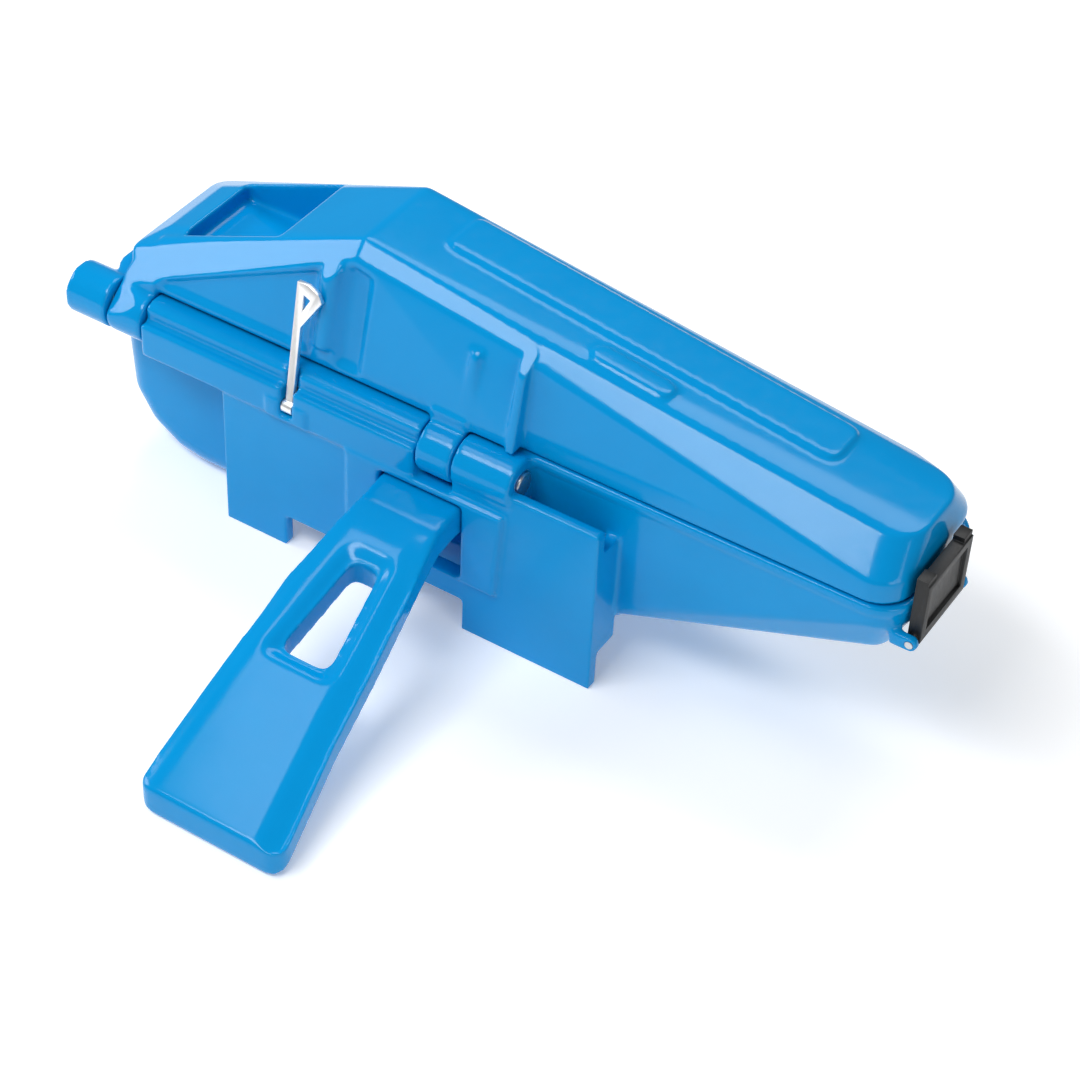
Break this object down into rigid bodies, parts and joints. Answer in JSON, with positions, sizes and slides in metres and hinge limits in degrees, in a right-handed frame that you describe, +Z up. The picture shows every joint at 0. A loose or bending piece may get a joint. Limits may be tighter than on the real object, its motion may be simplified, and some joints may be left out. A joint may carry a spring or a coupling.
{
  "type": "bicycle chain cleaner",
  "caption": "Hinged two-part case on legs that scrubs a chain drawn through it, with a fold-down handle, retaining arm and end latch.",
  "frame": {"origin": "centre of the right foot's bottom face, on the surface that the object stands on", "axes": "+Z up, +X along the hinge towards the nose with the latch, +Y away from the handle"},
  "size_m": [0.2365, 0.1459, 0.092],
  "materials": {
    "blue_moulding": "glossy injection moulded",
    "black_moulding": "satin moulded with worn edges",
    "plated_steel": "bright zinc plated",
    "pin_steel": "turned",
    "inner_moulding": "satin moulded",
    "nylon_bristle": "nylon filament",
    "foam_sponge": "open cell foam",
    "ferrite": "sintered"
  },
  "bodies": {
    "base": {"base_housing": "blue_moulding", "hinge_pin": "pin_steel", "handle_pin": "pin_steel", "handle_pin_clip": "pin_steel", "arm_pin": "pin_steel", "latch_pin": "pin_steel", "brush_cartridge": "inner_moulding", "low_axle_1": "pin_steel", "low_axle_2": "pin_steel", "low_axle_3": "pin_steel", "low_sponge_tray": "inner_moulding", "low_sponge": "foam_sponge", "magnet": "ferrite", "magnet_cover": "inner_moulding", "magnet_screws": "pin_steel"},
    "lid": {"lid_housing": "blue_moulding", "up_axle_1": "pin_steel", "up_axle_2": "pin_steel", "up_sponge_holder": "inner_moulding", "up_sponge": "foam_sponge", "holder_screws": "pin_steel"},
    "handle": {"handle": "blue_moulding"},
    "arm": {"retaining_arm": "plated_steel"},
    "latch": {"latch": "black_moulding"},
    "low_wheel_1": {"low_hub_1": "inner_moulding", "low_bristles_1": "nylon_bristle"},
    "low_wheel_2": {"low_hub_2": "inner_moulding", "low_bristles_2": "nylon_bristle"},
    "low_wheel_3": {"low_hub_3": "inner_moulding", "low_bristles_3": "nylon_bristle"},
    "up_wheel_1": {"up_hub_1": "inner_moulding", "up_bristles_1": "nylon_bristle"},
    "up_wheel_2": {"up_hub_2": "inner_moulding", "up_bristles_2": "nylon_bristle"}
  },
  "joints": [
    {"name": "lid_hinge", "type": "hinge", "parent": "base", "child": "lid", "pos_m": [-0.06625, 0.00435, 0.05], "axis": [1, 0, 0], "range_deg": [0, 95]},
    {"name": "arm_pivot", "type": "hinge", "parent": "base", "child": "arm", "pos_m": [-0.07125, -0.00095, 0.0464], "axis": [1, 0, 0], "range_deg": [0, 119]},
    {"name": "latch_pivot", "type": "hinge", "parent": "base", "child": "latch", "pos_m": [0.09385, 0.02445, 0.0473], "axis": [0, 1, 0], "range_deg": [0, 95]},
    {"name": "handle_pivot", "type": "hinge", "parent": "base", "child": "handle", "pos_m": [-0.03105, 0.00495, 0.0361], "axis": [1, 0, 0], "range_deg": [0, 45]},
    {"name": "low_wheel_1_spin", "type": "hinge", "parent": "base", "child": "low_wheel_1", "pos_m": [-0.10025, 0.04055, 0.0352], "axis": [0, 1, 0], "continuous": true},
    {"name": "low_wheel_2_spin", "type": "hinge", "parent": "base", "child": "low_wheel_2", "pos_m": [-0.06425, 0.04055, 0.0352], "axis": [0, 1, 0], "continuous": true},
    {"name": "low_wheel_3_spin", "type": "hinge", "parent": "base", "child": "low_wheel_3", "pos_m": [-0.02825, 0.04055, 0.0352], "axis": [0, 1, 0], "continuous": true},
    {"name": "up_wheel_1_spin", "type": "hinge", "parent": "lid", "child": "up_wheel_1", "pos_m": [-0.06825, 0.04055, 0.0708], "axis": [0, 1, 0], "continuous": true},
    {"name": "up_wheel_2_spin", "type": "hinge", "parent": "lid", "child": "up_wheel_2", "pos_m": [-0.04225, 0.04055, 0.0708], "axis": [0, 1, 0], "continuous": true}
  ],
  "couplings": [
    {"joint": "arm_pivot", "follows": "lid_hinge", "ratio": 1.25}
  ]
}
